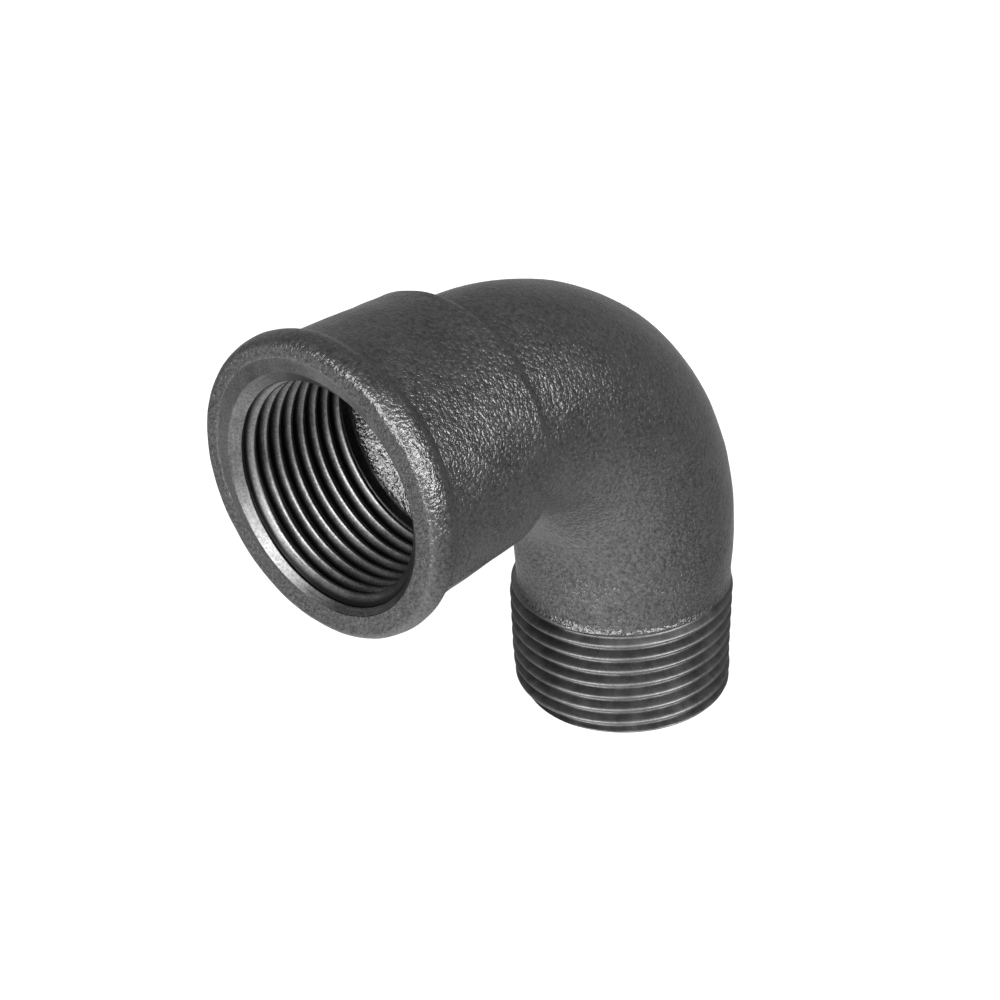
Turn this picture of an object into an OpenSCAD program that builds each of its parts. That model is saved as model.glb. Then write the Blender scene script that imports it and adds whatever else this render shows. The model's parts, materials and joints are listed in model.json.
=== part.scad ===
// Street elbow: a 90 degree pipe elbow with one female and one male pipe thread.
// One malleable-iron casting, threaded at both ends.
// The male leg stands on z = 0 and points down, the female end faces -Y, and x = 0 is its mirror plane.

/* [Body] */
// Centre line of the male leg to the flat face of the female end
female_reach = 61.5; // [61:0.5:66]
// Male end face to the centre line of the female end
male_reach = 60.5; // [58:0.5:66]
// Radius of the bend's centre line
bend_r = 34.8; // [30:0.1:35]
// Outside radius of the bend
bend_outer_r = 16.4; // [16:0.1:17]
// Radius of the waterway through the bend and the male leg
waterway_r = 13.0; // [11:0.1:13.2]

/* [Female end] */
// Outside radius of the bead round the mouth
bead_r = 21.9; // [21.5:0.1:23]
// Rounding of the bead's back, down to the socket
bead_back = 3.1; // [2.8:0.1:3.6]
// Outside radius of the socket behind the bead
socket_r = 19.75; // [19.5:0.05:20.2]
// Outside radius of the socket at its shoulder
socket_end_r = 19.4; // [19:0.05:19.5]
// Mouth face to the far side of the shoulder
socket_len = 25.8; // [25.4:0.1:26.2]
// Radius of the chamfer at the mouth
mouth_r = 17.5; // [17:0.1:18]
// Number of thread crests in the socket
female_crests = 8; // [6:1:8]

/* [Male end] */
// Outside radius of the male end face
end_r = 15.7; // [15.2:0.1:16]
// Radius of the cast leg at its narrowest, above the thread
neck_r = 16.3; // [16:0.1:16.5]
// Height of the narrowest place above the male end face
neck_z = 21.5; // [19.5:0.5:23]
// Number of thread crests on the leg, counting the edge of the cast leg as the last
male_crests = 8; // [6:1:8]

/* [Thread] */
// Radius over the crests of the male thread, at the gauge plane
major_r = 16.6245; // [16.6:0.0005:16.65]
// Thread pitch, eleven turns to the inch
pitch = 2.3091; // [2.309:0.0001:2.3095]
// Depth of the thread, crest to root
thread_depth = 1.479; // [1.4:0.001:1.48]
// Male end face to the gauge plane
gauge_len = 10.391; // [10:0.001:10.8]

/* [Hidden] */
$fn = 96;

minor_r = major_r - thread_depth;
taper = 1 / 32;                          // growth of the male thread's radius for each mm of height
flat = pitch / 6;                        // width of a crest or a root
flank = pitch / 2 - flat;                // axial length of one flank

bead_edge = 1.5;                         // rounding of the bead's front edge
bead_land = 0.8;                         // straight band on top of the bead
shoulder_edge = 2.6;                     // rounding of the socket's shoulder
mouth_depth = 2.1;                       // depth of the mouth chamfer
recess_r = major_r + 0.3;                // clearance groove behind the female thread
recess_len = 2.2;
recess_slope = 2.6;                      // cone from the clearance groove to the waterway
first_crest = 2.05;                      // height of the lowest male crest
bore_chamfer = 0.8;
eps = 0.01;

female_first = mouth_depth + flat / 2;   // centre of the first female crest, from the mouth face
female_last = female_first + (female_crests - 1) * pitch;
recess_start = female_last + flat / 2 + flank;
recess_end = recess_start + recess_len;
straight_end = female_reach - bend_r;    // mouth face to the start of the bend
bend_end = male_reach - bend_r;          // male end face to the end of the bend

function male_crest_r(z) = major_r + (z - gauge_len) * taper;

// The groove that follows the female crest at t: out to its root and back to the next crest
function female_groove(t) = [
    [minor_r, t + flat / 2],
    [minor_r + thread_depth, t + flat / 2 + flank],
    [minor_r + thread_depth, t + 3 * flat / 2 + flank],
    [minor_r, t + pitch - flat / 2]
];

// The groove above the male crest at z: in to its root and out to the next, slightly wider crest
function male_groove(z) = let (r = male_crest_r(z), next_r = male_crest_r(z + pitch)) [
    [r, z + flat / 2],
    [r - thread_depth, z + flat / 2 + flank],
    [next_r - thread_depth, z + 3 * flat / 2 + flank],
    [next_r, z + pitch - flat / 2]
];

// Lays a shape made along +Z, with its mouth at z = 0, along +Y behind the female face
module from_female_face() {
    translate([0, -female_reach, male_reach]) rotate([-90, 0, 0]) children();
}

// Sweeps a round section of radius r along the bend's centre line
module bend(r) {
    translate([0, -bend_r, male_reach - bend_r])
        rotate([90, 0, 90])
            rotate_extrude(angle = 90) translate([bend_r, 0]) circle(r = r);
}

// Section of the bead: a small rounding in front, a straight land and a large rounding at the back
module bead_section() {
    back = bead_edge + bead_land;
    square([bead_r - bead_edge, back]);
    translate([0, bead_edge]) square([bead_r, bead_land]);
    translate([bead_r - bead_edge, bead_edge]) circle(r = bead_edge);
    intersection() {
        translate([bead_r - bead_back, back]) circle(r = bead_back);
        translate([0, back]) square([bead_r, bead_back]);
    }
}

// Section of the socket, from the bead to the shoulder, with the straight before the bend
module socket_section() {
    shoulder_start = socket_len - shoulder_edge;
    polygon([[0, bead_edge], [socket_r, bead_edge], [socket_end_r, shoulder_start], [0, shoulder_start]]);
    square([socket_end_r - shoulder_edge, socket_len]);
    translate([socket_end_r - shoulder_edge, shoulder_start]) circle(r = shoulder_edge);
    translate([0, socket_len - eps]) square([bend_outer_r, straight_end - socket_len + eps]);
}

// Outside of the female end
module female_outside() {
    from_female_face() rotate_extrude() {
        bead_section();
        socket_section();
    }
}

// Outside of the male leg, with its thread crests as rings
module male_outside() {
    last_crest = first_crest + (male_crests - 1) * pitch;
    rotate_extrude() polygon(concat(
        [[0, 0], [end_r, 0], [male_crest_r(first_crest), first_crest - flat / 2]],
        [for (i = [0 : male_crests - 2]) each male_groove(first_crest + i * pitch)],
        [[male_crest_r(last_crest), last_crest + flat / 2],
         [neck_r, neck_z], [bend_outer_r, bend_end], [0, bend_end]]
    ));
}

// Space inside the female end: chamfer, thread, clearance groove and cone
module female_inside() {
    from_female_face() rotate_extrude() polygon(concat(
        [[0, -eps], [mouth_r, -eps], [mouth_r, 0], [minor_r, mouth_depth]],
        [for (i = [0 : female_crests - 2]) each female_groove(female_first + i * pitch)],
        [[minor_r, female_last + flat / 2], [recess_r, recess_start], [recess_r, recess_end],
         [waterway_r, recess_end + recess_slope], [waterway_r, straight_end], [0, straight_end]]
    ));
}

// Space inside the male leg, opened a little at its end
module male_inside() {
    translate([0, 0, -eps]) cylinder(r = waterway_r, h = bend_end + eps);
    translate([0, 0, -eps]) cylinder(r1 = waterway_r + bore_chamfer, r2 = waterway_r, h = bore_chamfer + eps);
}

module elbow_casting() {
    color([0.27, 0.27, 0.28])
        difference() {
            union() {
                female_outside();
                bend(bend_outer_r);
                male_outside();
            }
            female_inside();
            bend(waterway_r);
            male_inside();
        }
}

elbow_casting();
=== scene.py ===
"""One inch street elbow: a malleable-iron casting with a beaded female socket and a threaded male leg.

The casting is turned from one closed outline as a straight tube that stands on its male end. Its two
pipe threads are cut into the tube, and the tube is then bent through ninety degrees towards -Y.
All lengths are in metres.
"""

import json
import logging
import math
from dataclasses import dataclass
from enum import Enum

import bpy
import numpy as np
from mathutils import Matrix, Vector

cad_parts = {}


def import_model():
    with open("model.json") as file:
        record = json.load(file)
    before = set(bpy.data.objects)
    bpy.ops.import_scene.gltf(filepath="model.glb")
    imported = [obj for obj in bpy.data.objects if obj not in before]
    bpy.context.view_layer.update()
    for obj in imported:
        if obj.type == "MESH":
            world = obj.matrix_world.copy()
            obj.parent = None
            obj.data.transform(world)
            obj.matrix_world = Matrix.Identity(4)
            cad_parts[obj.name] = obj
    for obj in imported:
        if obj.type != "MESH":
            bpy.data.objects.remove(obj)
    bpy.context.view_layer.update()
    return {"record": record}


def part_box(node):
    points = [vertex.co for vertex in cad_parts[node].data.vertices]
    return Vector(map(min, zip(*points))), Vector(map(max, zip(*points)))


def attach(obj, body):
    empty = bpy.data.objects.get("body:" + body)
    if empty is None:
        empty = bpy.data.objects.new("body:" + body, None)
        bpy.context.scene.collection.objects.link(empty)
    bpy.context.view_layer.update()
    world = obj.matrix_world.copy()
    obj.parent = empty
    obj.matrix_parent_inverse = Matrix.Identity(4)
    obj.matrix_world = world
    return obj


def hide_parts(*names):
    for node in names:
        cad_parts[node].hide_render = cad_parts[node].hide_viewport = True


LOG = logging.getLogger("street_elbow")
MM = 0.001
TOUCH = 0.001 * MM  # places this close together count as one
NODE = "elbow_casting"
BODY = "root"
CUT = "cut"  # attribute: 0 on the cast skin, 1 where a tool has cut the iron
OIL_AND_SHADE = "oil_and_shade"  # attribute: how much dark oil lies on the cut iron, and the painted shade down in the thread grooves, from 0 to 1
LEG = "leg"  # attribute: 1 along the male leg, 0 elsewhere
SKIN_GROUP = "cast_skin"


class Zone(Enum):
    """The stretches of the outline that are treated differently once the tube is turned."""

    CAST = 0
    MALE_THREAD = 1
    FEMALE_THREAD = 2
    MACHINED = 3
    BORE = 4


@dataclass(frozen=True)
class PipeThread:
    """A 55 degree pipe thread with rounded crests and roots, eleven turns to the inch."""

    HALF_ANGLE = math.radians(27.5)
    SHARP_HEIGHT = 0.960491  # height of the thread before its crests and roots are rounded, in pitches
    DEPTH = 0.640327  # in pitches
    ROUNDING = 0.137329  # radius of crests and roots, in pitches

    major: float
    pitch: float = 25.4 * MM / 11
    gauge: float = 10.391 * MM
    taper: float = 1 / 32  # growth of the radius for each unit of height

    @property
    def depth(self) -> float:
        """Height of the thread from root to crest."""
        return self.DEPTH * self.pitch

    @property
    def minor(self) -> float:
        """Radius at the roots of a parallel male thread, or over the crests of a female one."""
        return self.major - self.depth

    def dip(self, turns: np.ndarray) -> np.ndarray:
        """Depth below the crest line.

        Args:
            turns: distance from a crest along the axis, in pitches; whole numbers are crests.

        Returns:
            The depth, from 0 at a crest to the full depth midway between two crests.
        """
        rounding = self.ROUNDING * self.pitch
        reach = rounding * math.cos(self.HALF_ANGLE)
        from_crest = np.abs(turns - np.round(turns)) * self.pitch
        from_root = self.pitch / 2 - from_crest
        crest = rounding - np.sqrt(np.clip(rounding**2 - from_crest**2, 0, None))
        root = self.depth - rounding + np.sqrt(np.clip(rounding**2 - from_root**2, 0, None))
        flank = from_crest / math.tan(self.HALF_ANGLE) - self.SHARP_HEIGHT * self.pitch / 6
        return np.where(from_crest < reach, crest, np.where(from_root < reach, root, flank))

    def crest_radius(self, height: np.ndarray) -> np.ndarray:
        """Radius over the male crests at a height above the male end face."""
        return self.major + (height - self.gauge) * self.taper


@dataclass(frozen=True)
class ElbowSizes:
    """Driving dimensions of the casting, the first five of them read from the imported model.

    Depths are counted from the mouth face, and heights and starts on the leg from the male end face.
    """

    female_reach: float
    male_reach: float
    bead_r: float
    waterway_r: float
    thread: PipeThread
    bend_r: float = 34.8 * MM
    leg_r: float = 16.36 * MM
    bend_swell: float = 0.08 * MM  # how far the middle of the bend is fuller than its ends
    neck_r: float = 15.98 * MM
    neck_start: float = 16.4 * MM
    neck_height: float = 18.8 * MM
    cast_edge: float = 17.9 * MM  # where the thread stops and the cast skin begins
    bead_edge: float = 1.1 * MM  # rounding of the bead's front edge
    bead_crown: float = 5.5 * MM  # rounding of the bead's crown
    bead_crown_turn: float = 20.0  # in degrees
    bead_back: float = 3.4 * MM  # rounding of the bead's back
    bead_foot: float = 0.25 * MM  # height above the socket at which the bead's back begins
    socket_r: float = 20.35 * MM
    socket_end_r: float = 19.12 * MM
    shoulder_depth: float = 24.3 * MM
    shoulder_round: float = 1.3 * MM
    shoulder_slope: float = 75.0  # in degrees from the tube's axis
    shoulder_fillet: float = 2.6 * MM
    mouth_r: float = 17.53 * MM
    mouth_depth: float = 2.1 * MM
    face_ring_r: float = 18.7 * MM
    recess_r: float = 16.92 * MM
    recess_start: float = 19.5 * MM
    recess_lead: float = 0.8 * MM  # length of the slope from the thread out to the recess
    recess_end: float = 22.2 * MM
    recess_slope: float = 2.6 * MM  # length of the cone from the recess to the waterway
    end_r: float = 15.6 * MM
    bore_chamfer: float = 0.8 * MM

    @classmethod
    def from_frame(cls, record: dict) -> "ElbowSizes":
        """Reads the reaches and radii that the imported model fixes.

        Args:
            record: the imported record.

        Returns:
            The sizes of this casting.
        """
        low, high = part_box(NODE)
        bead_r = (high[0] - low[0]) / 2
        radius = {mount["name"]: mount["dims"].get("r_mm", 0) * MM for mount in record["mounts"]}
        return cls(
            female_reach=-low[1],
            male_reach=high[2] - bead_r,
            bead_r=bead_r,
            waterway_r=radius["waterway"],
            thread=PipeThread(major=radius["male_thread"]),
        )

    @property
    def leg_length(self) -> float:
        """Straight length of the male leg, up to the bend."""
        return self.male_reach - self.bend_r

    @property
    def bend_length(self) -> float:
        """Length of the bend along its centre line."""
        return self.bend_r * math.pi / 2

    @property
    def length(self) -> float:
        """Length of the whole centre line, from the male end face to the female face."""
        return self.leg_length + self.bend_length + self.female_reach - self.bend_r


class Outline:
    """A chain of vertices in the XZ plane, X the radius and Z the distance along the tube."""

    def __init__(self, name: str, radius: float, along: float) -> None:
        """Starts the chain with one vertex.

        Args:
            name: name of the new object.
            radius: distance of the first vertex from the axis.
            along: distance of the first vertex along the tube.
        """
        bpy.ops.object.select_all(action="DESELECT")
        bpy.ops.mesh.primitive_circle_add(vertices=3, radius=MM, location=(0, 0, 0))
        self.obj = bpy.context.active_object
        self.obj.name = name
        self.obj.data.name = name
        bpy.ops.object.mode_set(mode="EDIT")
        bpy.ops.mesh.select_all(action="SELECT")
        bpy.ops.mesh.merge(type="CENTER")
        bpy.ops.transform.translate(value=(radius, 0, along))
        self.at = (radius, along)
        self.zones: list[Zone] = [Zone.CAST]

    def to(self, radius: float, along: float, zone: Zone = Zone.CAST) -> None:
        """Extrudes the last vertex to a new place."""
        step = (radius - self.at[0], 0, along - self.at[1])
        bpy.ops.mesh.extrude_vertices_move(TRANSFORM_OT_translate={"value": step})
        self.at = (radius, along)
        self.zones.append(zone)

    def line(
        self, radius: float, along: float, step: float, zone: Zone = Zone.CAST, swell: float = 0.0
    ) -> None:
        """Extrudes in equal steps along a straight or swelling line.

        Args:
            radius: radius at the end of the line.
            along: distance along the tube at the end of the line.
            step: longest step allowed.
            zone: what the new vertices belong to.
            swell: how far the middle of the line stands out from a straight one.
        """
        start = self.at
        count = max(1, math.ceil(math.dist(start, (radius, along)) / step - 1e-6))
        for i in range(1, count + 1):
            share = i / count
            bow = swell * 4 * share * (1 - share)
            new_radius = start[0] + (radius - start[0]) * share + bow
            self.to(new_radius, start[1] + (along - start[1]) * share, zone)

    def arc(self, centre: tuple[float, float], turn: float, count: int, zone: Zone = Zone.CAST) -> None:
        """Extrudes round a centre.

        Args:
            centre: radius and distance along the tube of the arc's centre.
            turn: angle to turn through, in degrees, positive from the radius towards the tube's length.
            count: number of steps.
            zone: what the new vertices belong to.
        """
        start = (self.at[0] - centre[0], self.at[1] - centre[1])
        for i in range(1, count + 1):
            angle = math.radians(turn * i / count)
            cos, sin = math.cos(angle), math.sin(angle)
            self.to(
                centre[0] + start[0] * cos - start[1] * sin,
                centre[1] + start[0] * sin + start[1] * cos,
                zone,
            )

    def finish(self) -> bpy.types.Object:
        """Leaves edit mode, notes each vertex's zone and returns the object."""
        bpy.ops.object.mode_set(mode="OBJECT")
        zones = self.obj.data.attributes.new("zone", "INT", "POINT")
        zones.data.foreach_set("value", [zone.value for zone in self.zones])
        return self.obj


class ElbowCasting:
    """The casting, from its outline to its finished skin."""

    STEPS = 156  # round the axis
    ROWS_PER_PITCH = 24
    SMOOTH_ANGLE = 40.0  # edges that turn more than this, in degrees, stay sharp
    FACING = -46.55  # direction about the leg, in degrees, in which its first crest has the height below
    FIRST_MALE_CREST = 2.05 * MM
    FIRST_FEMALE_CREST = 1.27 * MM  # depth of the first female crest, straight above the hole's axis
    DIE_STOP = -37.0  # where the last male groove becomes shallow, in degrees from the facing direction
    DIE_STOP_DEPTH = 0.8  # its depth from there on, as a share of the full depth
    DIE_SHIFT = (-0.21 * MM, -0.20 * MM)  # the die ran this far off the leg's axis
    DIE_SHIFT_HEIGHT = 6 * MM  # at this height and above
    CREST_LOSS = 0.15 * MM  # the male crests lie this far below the standard crest line
    END_SLOPE = 0.9  # growth of the end chamfer's radius for each unit of height
    EDGE_WAVES = ((0.12 * MM, 3, 1), (0.07 * MM, 11, 0))  # height, number and phase, along the cast edge
    HOLE_FADE = 4 * MM  # the hole comes back to the socket's axis over twice this length
    BEAD_DEPTH = 5 * MM  # behind it, the socket comes back to its axis
    MOUTH_SHIFT = (0.30 * MM, -0.44 * MM)  # the tap ran this far off the socket's axis
    COUNTERSINK_SHIFT = (0.30 * MM, 0.16 * MM)  # the countersink, off the tapped hole's axis
    FACED_R = 18.37 * MM  # radius of the smooth ring on the mouth face
    FACED_SHIFT = (-0.57 * MM, 0.56 * MM)  # and how far it is off the socket's axis
    BEAD_SHIFT = 0.05 * MM  # the bead stands this far above that axis
    LEG_GRIME = 0.75  # on the male crests
    SOCKET_GRIME = 0.3  # on the female crests
    MOUTH_GRIME = 0.45  # on the mouth chamfer
    FACE_GRIME = 0.5  # on the smooth ring
    RELIEF = 0.22 * MM
    RELIEF_SIZE = 5 * MM

    def __init__(self, sizes: ElbowSizes) -> None:
        """Keeps the sizes that every step works from."""
        self.sizes = sizes

    def build(self) -> bpy.types.Object:
        """Makes the whole casting.

        Returns:
            The finished mesh object, at the origin and unturned.
        """
        obj = self.draw_outline()
        self.turn(obj)
        self.cut_threads(obj)
        self.roughen(obj)
        self.bend(obj)
        return obj

    def draw_outline(self) -> bpy.types.Object:
        """Draws the closed outline of the straight tube: up the outside and back through the bore."""
        s = self.sizes
        row = s.thread.pitch / self.ROWS_PER_PITCH
        end = s.length
        outline = Outline("elbow", s.waterway_r + s.bore_chamfer, 0)
        outline.zones[0] = Zone.MACHINED
        outline.line(s.end_r, 0, step=0.6 * MM, zone=Zone.MALE_THREAD)
        outline.line(s.neck_r, s.neck_height + 2 * row, step=row, zone=Zone.MALE_THREAD)
        outline.line(s.leg_r, s.leg_length, step=0.7 * MM)
        self.draw_bend_and_shoulder(outline)
        self.draw_socket_and_bead(outline)
        outline.line(s.face_ring_r, end, step=0.25 * MM)
        outline.line(s.mouth_r, end, step=0.2 * MM, zone=Zone.FEMALE_THREAD)
        outline.line(s.thread.minor, end - s.recess_start, step=row, zone=Zone.FEMALE_THREAD)
        outline.line(s.recess_r, end - s.recess_start - s.recess_lead, step=0.2 * MM, zone=Zone.MACHINED)
        outline.line(s.recess_r, end - s.recess_end, step=0.6 * MM, zone=Zone.MACHINED)
        outline.line(s.waterway_r, end - s.recess_end - s.recess_slope, step=0.6 * MM, zone=Zone.BORE)
        outline.line(s.waterway_r, s.bore_chamfer, step=1.4 * MM, zone=Zone.BORE)
        outline.line(s.waterway_r + s.bore_chamfer, 0, step=0.4 * MM, zone=Zone.MACHINED)
        return outline.finish()

    def draw_bend_and_shoulder(self, outline: Outline) -> None:
        """Draws the bend, the fillet into the shoulder and the shoulder's rounding."""
        s = self.sizes
        shoulder = s.length - s.shoulder_depth
        slope = math.radians(s.shoulder_slope)
        centre_r = s.socket_end_r - s.shoulder_round
        round_end = (
            centre_r + s.shoulder_round * math.cos(slope),
            shoulder - s.shoulder_round * math.sin(slope),
        )
        fillet_centre = (
            round_end[0] + s.shoulder_fillet * math.cos(slope),
            round_end[1] - s.shoulder_fillet * math.sin(slope),
        )
        fillet_r = fillet_centre[0] - s.shoulder_fillet
        outline.line(fillet_r, fillet_centre[1], step=1.2 * MM, swell=s.bend_swell)
        outline.arc(fillet_centre, -s.shoulder_slope, 9)
        outline.arc((centre_r, shoulder), s.shoulder_slope, 9)

    def draw_socket_and_bead(self, outline: Outline) -> None:
        """Draws the socket and the bead: its foot, its back, its slowly rounded crown and its front edge."""
        s = self.sizes
        end = s.length
        turn = math.radians(s.bead_crown_turn)
        crown_depth = s.bead_edge * (1 - math.sin(turn)) + s.bead_crown * math.sin(turn)
        centre = (s.bead_r - s.bead_back, end - crown_depth)
        foot = math.acos((s.socket_r + s.bead_foot - centre[0]) / s.bead_back)
        foot_along = centre[1] - s.bead_back * math.sin(foot)
        outline.line(s.socket_r, foot_along - 0.45 * MM, step=0.8 * MM)
        # a small hollow up to the foot of the bead
        outline.line(s.socket_r + 0.06 * MM, foot_along - 0.18 * MM, step=0.3 * MM)
        outline.to(s.socket_r + s.bead_foot, foot_along)
        outline.arc(centre, math.degrees(foot), 10)
        outline.arc((s.bead_r - s.bead_crown, centre[1]), s.bead_crown_turn, 6)
        edge_r = outline.at[0] - s.bead_edge * math.cos(turn)
        outline.arc((edge_r, end - s.bead_edge), 90 - s.bead_crown_turn, 8)

    def turn(self, obj: bpy.types.Object) -> None:
        """Closes the outline and spins it once round the tube's axis."""
        bpy.ops.object.mode_set(mode="EDIT")
        bpy.ops.mesh.select_all(action="SELECT")
        bpy.ops.mesh.remove_doubles(threshold=TOUCH)
        bpy.ops.mesh.spin(
            steps=self.STEPS,
            dupli=False,
            angle=math.tau,
            use_auto_merge=True,
            center=(0, 0, 0),
            axis=(0, 0, 1),
        )
        bpy.ops.mesh.select_all(action="SELECT")
        bpy.ops.mesh.remove_doubles(threshold=TOUCH)
        bpy.ops.mesh.normals_make_consistent(inside=False)
        bpy.ops.object.mode_set(mode="OBJECT")
        bpy.ops.object.shade_smooth_by_angle(angle=math.radians(self.SMOOTH_ANGLE))

    def cut_threads(self, obj: bpy.types.Object) -> None:
        """Moves the vertices of both thread stretches to the cut surface and marks what was cut."""
        s = self.sizes
        mesh = obj.data
        places = np.empty(len(mesh.vertices) * 3)
        mesh.vertices.foreach_get("co", places)
        places = places.reshape(-1, 3)
        zones = np.empty(len(mesh.vertices), np.int32)
        mesh.attributes["zone"].data.foreach_get("value", zones)
        radius = np.hypot(places[:, 0], places[:, 1])
        around = np.arctan2(places[:, 1], places[:, 0])
        cut = np.isin(zones, (Zone.CAST.value, Zone.BORE.value), invert=True).astype(float)
        oil_and_shade = np.zeros(len(cut))

        male = zones == Zone.MALE_THREAD.value
        height = places[male, 2]
        radius[male], cut[male], oil_and_shade[male] = self.male_surface(radius[male], height, around[male])
        run_off = cut[male] * smooth_step(0, self.DIE_SHIFT_HEIGHT, height)

        female = zones == Zone.FEMALE_THREAD.value
        depth = s.length - places[female, 2]
        round_hole = math.pi / 2 - around[female]
        radius[female], oil_and_shade[female] = self.female_surface(radius[female], depth, round_hole)

        places[:, 0] = radius * np.cos(around)
        places[:, 1] = radius * np.sin(around)
        places[male, :2] += run_off[:, None] * self.DIE_SHIFT
        self.shift_female_end(places, zones)
        self.mark_face(places, cut, oil_and_shade)
        mesh.vertices.foreach_set("co", places.ravel())
        self.mark(mesh, CUT, cut)
        self.mark(mesh, OIL_AND_SHADE, oil_and_shade)
        self.mark(mesh, LEG, (places[:, 2] < s.leg_length).astype(float))
        mesh.attributes.remove(mesh.attributes["zone"])
        mesh.update()
        self.group_skin(obj, 1 - cut)

    @staticmethod
    def group_skin(obj: bpy.types.Object, skin: np.ndarray) -> None:
        """Groups the vertices of the cast skin, those at its edge with half the weight.

        Args:
            obj: the casting.
            skin: how much each vertex belongs to the skin, from 0 to 1.
        """
        group = obj.vertex_groups.new(name=SKIN_GROUP)
        reach = 0.26  # just over half the gap between the weights, so no vertex between them is left out
        for weight in (0.5, 1.0):
            chosen = np.flatnonzero(np.abs(skin - weight) < reach)
            group.add(chosen.tolist(), weight, "REPLACE")

    def male_surface(
        self, radius: np.ndarray, height: np.ndarray, around: np.ndarray
    ) -> tuple[np.ndarray, np.ndarray, np.ndarray]:
        """Radius of the male leg where the die has been over it.

        Args:
            radius: radius of each vertex before the cut.
            height: height of each vertex above the male end face.
            around: angle of each vertex about the leg's axis, in radians.

        Returns:
            The new radius, how much each vertex is cut and how much dark oil and painted groove shade it
            holds, both from 0 to 1.
        """
        s = self.sizes
        degrees = (np.degrees(around) - self.FACING + 180) % 360 - 180
        turns = (height - self.FIRST_MALE_CREST) / s.thread.pitch - degrees / 360
        last = int((s.cast_edge - self.FIRST_MALE_CREST) / s.thread.pitch)
        shallow = smooth_step(self.DIE_STOP - 1.2, self.DIE_STOP + 1.2, degrees) * (turns > last)
        dip = s.thread.dip(turns) * (1 - (1 - self.DIE_STOP_DEPTH) * shallow)
        edge = s.cast_edge
        for rise, count, phase in self.EDGE_WAVES:
            edge = edge + rise * np.sin(count * around + phase)
        inside = 1 - smooth_step(edge - 0.25 * MM, edge + 0.1 * MM, height)
        crest = s.thread.crest_radius(height) - self.CREST_LOSS
        leg = crest + (s.neck_r - crest) * smooth_step(s.neck_start, s.neck_height, height)
        chamfer = s.end_r + self.END_SLOPE * height
        threaded = np.minimum(leg + (np.minimum(leg, crest - dip) - leg) * inside, chamfer)
        face = height < TOUCH
        # dark oil over the cut thread, and painted shade that deepens down into its grooves
        in_groove = smooth_step(0.02, 0.3, dip / s.thread.depth)
        oil_and_shade = (self.LEG_GRIME + (1 - self.LEG_GRIME) * in_groove) * inside
        return np.where(face, np.minimum(radius, threaded), threaded), np.where(face, 1, inside), oil_and_shade

    def female_surface(
        self, radius: np.ndarray, depth: np.ndarray, around: np.ndarray
    ) -> tuple[np.ndarray, np.ndarray]:
        """Radius of the socket's hole where the tap has been through it.

        Args:
            radius: radius of each vertex before the cut.
            depth: depth of each vertex behind the mouth face.
            around: angle of each vertex about the hole, right-handed along the hole, in radians.

        Returns:
            The new radius and how much dark oil and painted groove shade each vertex holds, from 0 to 1.
        """
        s = self.sizes
        turns = (depth - self.FIRST_FEMALE_CREST) / s.thread.pitch - around / math.tau
        dip = s.thread.dip(turns)
        lean = self.COUNTERSINK_SHIFT[0] * np.sin(around) + self.COUNTERSINK_SHIFT[1] * np.cos(around)
        chamfer = s.mouth_r + lean - depth * (s.mouth_r - s.thread.minor) / s.mouth_depth
        threaded = np.maximum(s.thread.minor + dip, chamfer)
        # painted shade: the grooves darken with depth, over a little oil on the crests and the chamfer
        in_groove = smooth_step(0.2, 0.75, dip / s.thread.depth)
        thread_oil_and_shade = self.SOCKET_GRIME + (1 - self.SOCKET_GRIME) * in_groove
        oil_and_shade = np.where(threaded > chamfer, thread_oil_and_shade, self.MOUTH_GRIME)
        face = radius + lean * (s.face_ring_r - radius) / (s.face_ring_r - s.mouth_r)
        return np.where(depth < TOUCH, face, threaded), oil_and_shade

    def mark_face(self, places: np.ndarray, cut: np.ndarray, oil_and_shade: np.ndarray) -> None:
        """Marks the part of the mouth face that the facing tool reached."""
        face = places[:, 2] > self.sizes.length - TOUCH
        off = np.hypot(places[face, 0] - self.FACED_SHIFT[0], places[face, 1] - self.FACED_SHIFT[1])
        cut[face] = 1 - smooth_step(self.FACED_R - 0.15 * MM, self.FACED_R + 0.25 * MM, off)
        oil_and_shade[face] = self.FACE_GRIME * cut[face]

    def shift_female_end(self, places: np.ndarray, zones: np.ndarray) -> None:
        """Sets the tapped hole and the bead off the socket's axis, and fades both out along the socket."""
        s = self.sizes
        along = places[:, 2]
        cast = zones == Zone.CAST.value
        face = along > s.length - TOUCH
        fade_end = s.length - s.recess_end - s.recess_slope
        hole = smooth_step(fade_end - self.HOLE_FADE, fade_end + self.HOLE_FADE, along) * ~cast
        bead = smooth_step(s.length - s.shoulder_depth, s.length - self.BEAD_DEPTH, along) * cast
        across = smooth_step(s.face_ring_r, s.bead_r - s.bead_edge, np.hypot(places[:, 0], places[:, 1]))
        bead = np.where(face & cast, across, bead)
        hole = np.where(face & cast, 1 - across, hole)
        places[:, 0] += hole * self.MOUTH_SHIFT[0]
        places[:, 1] += hole * self.MOUTH_SHIFT[1] + bead * self.BEAD_SHIFT

    @staticmethod
    def mark(mesh: bpy.types.Mesh, name: str, values: np.ndarray) -> None:
        """Stores one number for each vertex."""
        layer = mesh.attributes.new(name, "FLOAT", "POINT")
        layer.data.foreach_set("value", values.astype(np.float32))

    def roughen(self, obj: bpy.types.Object) -> None:
        """Gives the cast skin the slow hollows and swellings of a sand mould."""
        texture = bpy.data.textures.new("sand_mould", "CLOUDS")
        texture.noise_scale = self.RELIEF_SIZE
        texture.noise_depth = 1
        relief = obj.modifiers.new("relief", "DISPLACE")
        relief.texture = texture
        relief.texture_coords = "LOCAL"
        relief.direction = "NORMAL"
        relief.mid_level = 0.5
        relief.strength = self.RELIEF
        relief.vertex_group = SKIN_GROUP
        bpy.ops.object.modifier_apply(modifier=relief.name)
        obj.vertex_groups.clear()

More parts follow.
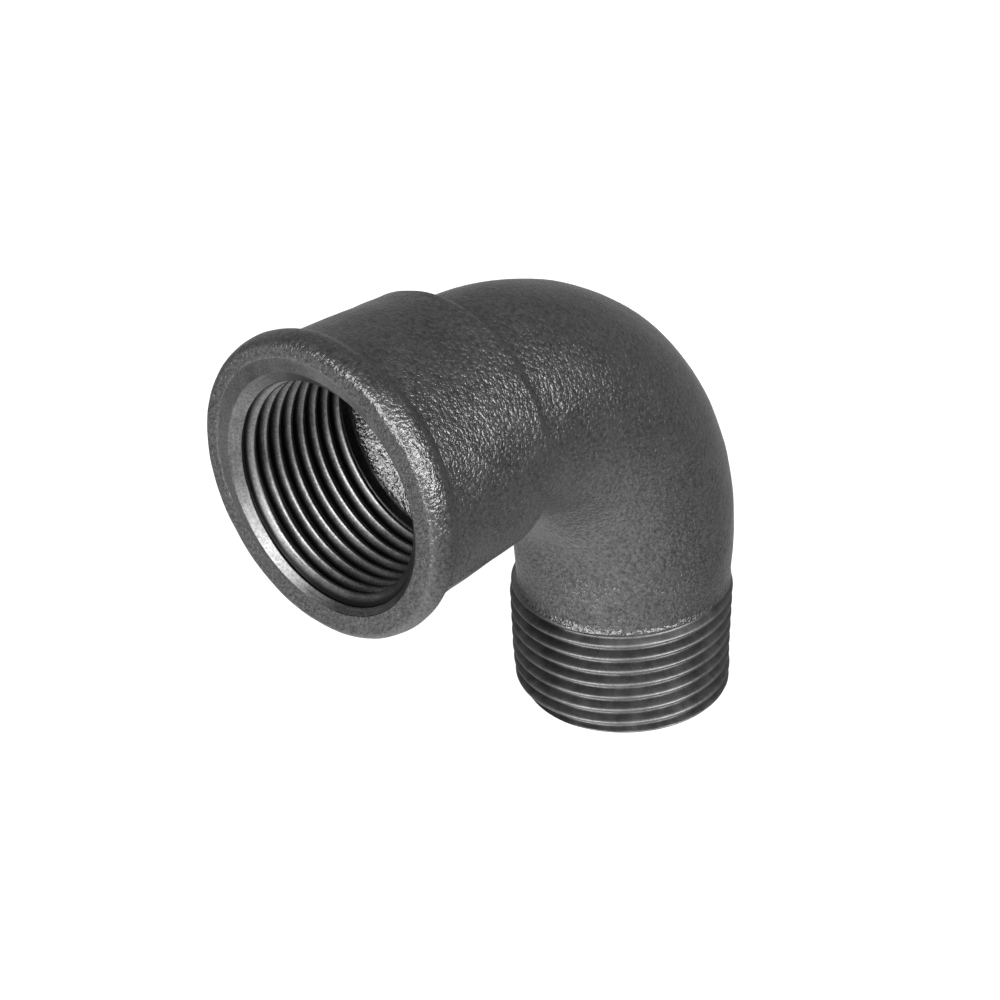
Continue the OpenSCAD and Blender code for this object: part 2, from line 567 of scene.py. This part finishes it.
    def bend(self, obj: bpy.types.Object) -> None:
        """Bends the straight tube through ninety degrees towards -Y and stands it on z = 0."""
        s = self.sizes
        bpy.ops.object.mode_set(mode="EDIT")
        bpy.ops.mesh.select_all(action="SELECT")
        bpy.ops.transform.translate(value=(0, 0, -s.leg_length))
        bpy.ops.object.mode_set(mode="OBJECT")
        bend = obj.modifiers.new("bend", "SIMPLE_DEFORM")
        bend.deform_method = "BEND"
        bend.deform_axis = "X"
        bend.angle = -math.pi / 2
        bend.limits = (s.leg_length / s.length, (s.leg_length + s.bend_length) / s.length)
        bpy.ops.object.modifier_apply(modifier=bend.name)
        bpy.ops.object.mode_set(mode="EDIT")
        bpy.ops.mesh.select_all(action="SELECT")
        bpy.ops.transform.translate(value=(0, 0, s.leg_length))
        bpy.ops.object.mode_set(mode="OBJECT")


def smooth_step(low: float, high: float, value: np.ndarray) -> np.ndarray:
    """Rises smoothly from 0 at low to 1 at high."""
    share = np.clip((value - low) / (high - low), 0, 1)
    return share * share * (3 - 2 * share)


class Number:
    """A node socket that carries a number, with Python's operators for its arithmetic."""

    def __init__(self, bench: "Bench", socket: bpy.types.NodeSocket) -> None:
        """Wraps a socket of the bench's node tree."""
        self.bench = bench
        self.socket = socket

    def _math(self, operation: str, *values: object, clamp: bool = False) -> "Number":
        """Adds a Math node with these inputs."""
        settings = {"operation": operation, "use_clamp": clamp}
        return self.bench.number("ShaderNodeMath", settings, dict(enumerate(values)))

    def __add__(self, other: object) -> "Number":
        """self + other."""
        return self._math("ADD", self, other)

    __radd__ = __add__

    def __mul__(self, other: object) -> "Number":
        """self * other."""
        return self._math("MULTIPLY", self, other)

    __rmul__ = __mul__

    def __sub__(self, other: object) -> "Number":
        """self - other."""
        return self._math("SUBTRACT", self, other)

    def __rsub__(self, other: object) -> "Number":
        """other - self."""
        return self._math("SUBTRACT", other, self)

    def __pow__(self, other: object) -> "Number":
        """self to the power of other."""
        return self._math("POWER", self, other)

    def clamp(self) -> "Number":
        """self, held between 0 and 1."""
        return self._math("ADD", self, 0.0, clamp=True)

    def above(self, low: float, high: float) -> "Number":
        """A mask that rises from 0 at low to 1 at high."""
        return self._math("DIVIDE", self - low, high - low, clamp=True)


class Bench:
    """Lays out the nodes of one material or of the surround."""

    def __init__(self, owner: bpy.types.Material | bpy.types.World) -> None:
        """Clears the owner's node tree.

        Args:
            owner: the material or world whose nodes are laid out.
        """
        owner.use_nodes = True
        self.owner = owner
        self.tree = owner.node_tree
        self.tree.nodes.clear()

    def node(self, kind: str, settings: dict | None = None, inputs: dict | None = None) -> bpy.types.Node:
        """Adds a node.

        Args:
            kind: the node's type.
            settings: its own settings, which are set first.
            inputs: a value, a socket or a Number for each input, by name or by place.

        Returns:
            The new node.
        """
        node = self.tree.nodes.new(kind)
        for key, value in (settings or {}).items():
            setattr(node, key, value)
        for key, value in (inputs or {}).items():
            socket = node.inputs[key]
            source = value.socket if isinstance(value, Number) else value
            if isinstance(source, bpy.types.NodeSocket):
                self.tree.links.new(source, socket)
            else:
                socket.default_value = source
        return node

    def number(
        self, kind: str, settings: dict | None = None, inputs: dict | None = None, out: object = 0
    ) -> Number:
        """Adds a node and wraps one of its outputs as a Number."""
        return Number(self, self.node(kind, settings, inputs).outputs[out])

    def mix(self, factor: Number, low: object, high: object) -> bpy.types.NodeSocket:
        """Mixes two colours by a factor."""
        inputs = {0: factor, 6: low, 7: high}
        return self.node("ShaderNodeMix", {"data_type": "RGBA"}, inputs).outputs[2]

    def stretch(self, place: object, scale: tuple[float, float, float]) -> bpy.types.NodeSocket:
        """Scales places, so that a pattern is drawn out along the axes with a small scale."""
        return self.node("ShaderNodeMapping", {}, {"Vector": place, "Scale": scale}).outputs[0]

    def attribute(self, name: str) -> Number:
        """Reads one of the mesh's own numbers."""
        return self.number("ShaderNodeAttribute", {"attribute_name": name}, out="Fac")

    def noise(self, place: object, size: float, detail: float = 2.0, rough: float = 0.5) -> Number:
        """Noise whose patches are about as wide as size, in metres."""
        inputs = {"Vector": place, "Scale": 1 / size, "Detail": detail, "Roughness": rough}
        return self.number("ShaderNodeTexNoise", {"noise_dimensions": "3D"}, inputs, "Fac")


def grey(level: float, warmth: float = 0.0) -> tuple[float, float, float, float]:
    """A linear grey, a little warmer or cooler than neutral."""
    return (level * (1 + warmth), level, level * (1 - warmth), 1.0)


@dataclass(frozen=True)
class IronFinish:
    """The black skin of the casting and the bare iron where it has been cut."""

    name: str = "black_malleable_iron"
    skin_dark: float = 0.024
    skin_light: float = 0.09
    skin_warmth: float = 0.01  # of its dark parts
    skin_metal: float = 0.85
    skin_rough: float = 0.24
    cut_dark: float = 0.07
    cut_light: float = 0.21
    groove: float = 0.012  # near-black of the female grooves: dark oil, and painted shade as well
    oil_dark: float = 0.045  # and the oil on the male thread, from streak to streak, which also darkens its grooves as painted shade
    oil_light: float = 0.09
    cut_rough: float = 0.38
    leg_rough: float = 0.47
    grain_size: float = 0.62 * MM
    grit_size: float = 0.34 * MM
    grain_height: float = 0.17 * MM
    patch_size: float = 6 * MM
    streak_size: float = 3 * MM
    tool_mark: float = 0.16 * MM
    tool_mark_height: float = 0.006 * MM

    def material(self) -> bpy.types.Material:
        """Builds the material.

        Returns:
            The finished material.
        """
        bench = Bench(bpy.data.materials.new(self.name))
        place = bench.node("ShaderNodeTexCoord").outputs["Object"]
        cut = bench.attribute(CUT)
        # dark oil, and painted shade in the thread grooves
        oil_and_shade = bench.attribute(OIL_AND_SHADE)
        leg = bench.attribute(LEG)
        grain = bench.noise(place, self.grain_size, 1.0).above(0.25, 0.75)
        grit = bench.noise(place, self.grit_size, 2.0, 0.6).above(0.25, 0.75)
        patches = bench.noise(place, self.patch_size, 3.0, 0.6)
        marks = self.tool_marks(bench, place, leg)

        skin_tone = (0.3 * patches + 0.4 * grain + 0.3 * grit).above(0.2, 0.8)
        skin = bench.mix(skin_tone, grey(self.skin_dark, self.skin_warmth), grey(self.skin_light))
        cut_tone = (0.45 * patches + 0.25 * marks + 0.3 * grit).above(0.35, 0.7)
        bare = bench.mix(cut_tone, grey(self.cut_dark), grey(self.cut_light))
        along_leg = bench.stretch(place, (1.0, 1.0, 0.4))
        streaks = bench.noise(along_leg, self.streak_size, 3.0, 0.7).above(0.35, 0.68)
        oiled_leg = bench.mix(streaks, grey(self.oil_dark), grey(self.oil_light))
        # the oil colour, near-black in the female grooves where it is painted shade as well as oil
        oil_and_shade_tone = bench.mix(leg, grey(self.groove), oiled_leg)
        colour = bench.mix(cut, skin, bench.mix(oil_and_shade, bare, oil_and_shade_tone))

        skin_rough = self.skin_rough + 0.22 * (grit - 0.5) + 0.12 * (patches - 0.5)
        cut_rough = self.cut_rough + (self.leg_rough - self.cut_rough) * leg
        cut_rough = cut_rough + 0.16 * (patches - 0.5) + 0.10 * (marks - 0.5)
        rough = skin_rough * (1 - cut) + cut_rough * cut

        skin_height = (0.62 * grain + 0.38 * grit) * (1 - cut)
        height = skin_height * self.grain_height + marks * cut * self.tool_mark_height
        bump = bench.node("ShaderNodeBump", {}, {"Strength": 1.0, "Distance": 1.0, "Height": height})
        metal = self.skin_metal + (1 - self.skin_metal) * cut
        inputs = {"Base Color": colour, "Metallic": metal, "Roughness": rough, "Normal": bump.outputs[0]}
        shader = bench.node("ShaderNodeBsdfPrincipled", {}, inputs)
        bench.node("ShaderNodeOutputMaterial", {}, {"Surface": shader.outputs[0]})
        return bench.owner

    def tool_marks(self, bench: Bench, place: bpy.types.NodeSocket, leg: Number) -> Number:
        """Fine rings round both threads, unevenly deep.

        Args:
            bench: where the nodes are laid out.
            place: the place on the casting.
            leg: 1 along the male leg and 0 elsewhere.

        Returns:
            The depth of the marks, from 0 to 1.
        """
        across_leg = bench.noise(bench.stretch(place, (0.03, 0.03, 1.0)), self.tool_mark, 1.0)
        across_socket = bench.noise(bench.stretch(place, (0.03, 1.0, 0.03)), self.tool_mark, 1.0)
        return leg * across_leg + (1 - leg) * across_socket


def toward(azimuth: float, elevation: float) -> Vector:
    """Direction from the elbow towards a place in the studio.

    Args:
        azimuth: degrees round from -Y towards +X.
        elevation: degrees above the floor.

    Returns:
        The unit vector.
    """
    azimuth, elevation = math.radians(azimuth), math.radians(elevation)
    level = math.cos(elevation)
    return Vector((level * math.sin(azimuth), -level * math.cos(azimuth), math.sin(elevation)))


@dataclass(frozen=True)
class Lamp:
    """One soft rectangular lamp that points at the elbow."""

    name: str
    azimuth: float  # both angles as toward() takes them
    elevation: float
    distance: float
    width: float
    height: float
    power: float  # in watts

    def build(self, target: Vector) -> None:
        """Hangs the lamp and turns it to the target."""
        away = toward(self.azimuth, self.elevation)
        bpy.ops.object.light_add(type="AREA", location=target + away * self.distance)
        lamp = bpy.context.active_object
        lamp.name = self.name
        lamp.data.shape = "RECTANGLE"
        lamp.data.size = self.width
        lamp.data.size_y = self.height
        lamp.data.energy = self.power
        lamp.rotation_euler = away.to_track_quat("Z", "Y").to_euler()


class Studio:
    """A white floor and backdrop, soft lamps, a pale surround and the camera."""

    TARGET = Vector((-0.01044, -0.01534, 0.03367))
    AZIMUTH = 43.45
    ELEVATION = 31.71
    ROLL = -1.07
    DISTANCE = 0.508
    LENS = 125.56
    SENSOR = 36
    FLOOR_SIZE = 5
    BACKDROP_R = 2.8
    LAMPS = (
        Lamp("side_lamp", 90, 27, 1.5, 0.9, 0.9, 52.0),
        Lamp("front_lamp", 8, 22, 1.5, 0.9, 1.3, 60.0),
    )
    DIM = 0.43  # brightness of the surround away from its two glows
    GLOW = 1.4  # how much brighter it is between the lamps
    GLOW_WAY = toward(50, 45)
    FLOOR_GLOW = 2.1  # and towards the floor in front
    FLOOR_GLOW_WAY = toward(20, -55)

    def build(self) -> None:
        """Sets the whole stage."""
        bpy.ops.mesh.primitive_plane_add(size=self.FLOOR_SIZE, location=(0, 0, 0))
        self.whiten("floor")
        bpy.ops.mesh.primitive_uv_sphere_add(
            segments=64, ring_count=32, radius=self.BACKDROP_R, location=(0, 0, 0)
        )
        self.whiten("backdrop")
        self.surround()
        for lamp in self.LAMPS:
            lamp.build(self.TARGET)
        self.camera()
        bpy.context.scene.view_settings.view_transform = "Standard"

    @staticmethod
    def whiten(name: str) -> None:
        """Makes the active object an even white sheet that neither lights nor shades the elbow."""
        sheet = bpy.context.active_object
        sheet.name = name
        bench = Bench(bpy.data.materials.new(f"white_{name}"))
        inputs = {"Base Color": grey(0.1), "Roughness": 1.0}
        inputs |= {"Emission Color": grey(1.0), "Emission Strength": 1.0}
        shader = bench.node("ShaderNodeBsdfPrincipled", {}, inputs)
        bench.node("ShaderNodeOutputMaterial", {}, {"Surface": shader.outputs[0]})
        sheet.data.materials.append(bench.owner)
        sheet.visible_glossy = False
        sheet.visible_diffuse = False
        sheet.visible_shadow = False

    def surround(self) -> None:
        """Lights the scene from all round, more from the lamps' side and from the floor in front."""
        world = bpy.data.worlds.new("pale_surround")
        bench = Bench(world)
        direction = bench.node("ShaderNodeTexCoord").outputs["Generated"]
        shares = []
        for way in (self.GLOW_WAY, self.FLOOR_GLOW_WAY):
            inputs = {0: direction, 1: way}
            share = bench.number("ShaderNodeVectorMath", {"operation": "DOT_PRODUCT"}, inputs, "Value")
            shares.append(share.clamp())
        strength = self.DIM + self.GLOW * shares[0] ** 2 + self.FLOOR_GLOW * shares[1] ** 2
        background = bench.node("ShaderNodeBackground", {}, {"Color": grey(1.0), "Strength": strength})
        bench.node("ShaderNodeOutputWorld", {}, {"Surface": background.outputs[0]})
        bpy.context.scene.world = world

    def camera(self) -> None:
        """Sets up the camera, above and to the right of the mouth."""
        back = toward(self.AZIMUTH, self.ELEVATION)
        level = Vector((0, 0, 1)).cross(back).normalized()
        turned = Matrix((level, back.cross(level), back)).transposed().to_4x4()
        bpy.ops.object.camera_add()
        camera = bpy.context.active_object
        camera.name = "camera"
        camera.data.lens = self.LENS
        camera.data.sensor_width = self.SENSOR
        camera.data.clip_start = 0.01
        camera.data.dof.use_dof = False
        place = Matrix.Translation(self.TARGET + back * self.DISTANCE)
        camera.matrix_world = place @ turned @ Matrix.Rotation(math.radians(self.ROLL), 4, "Z")
        bpy.context.scene.camera = camera


def main() -> None:
    """Builds the elbow and its stage in order."""
    logging.basicConfig(level=logging.INFO, format="%(name)s: %(message)s")
    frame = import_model()
    sizes = ElbowSizes.from_frame(frame["record"])
    elbow = ElbowCasting(sizes).build()
    elbow.data.materials.append(IronFinish().material())
    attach(elbow, BODY)
    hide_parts(NODE)
    LOG.info("%s: %d vertices, %d faces", elbow.name, len(elbow.data.vertices), len(elbow.data.polygons))
    Studio().build()


if __name__ == "__main__":
    main()
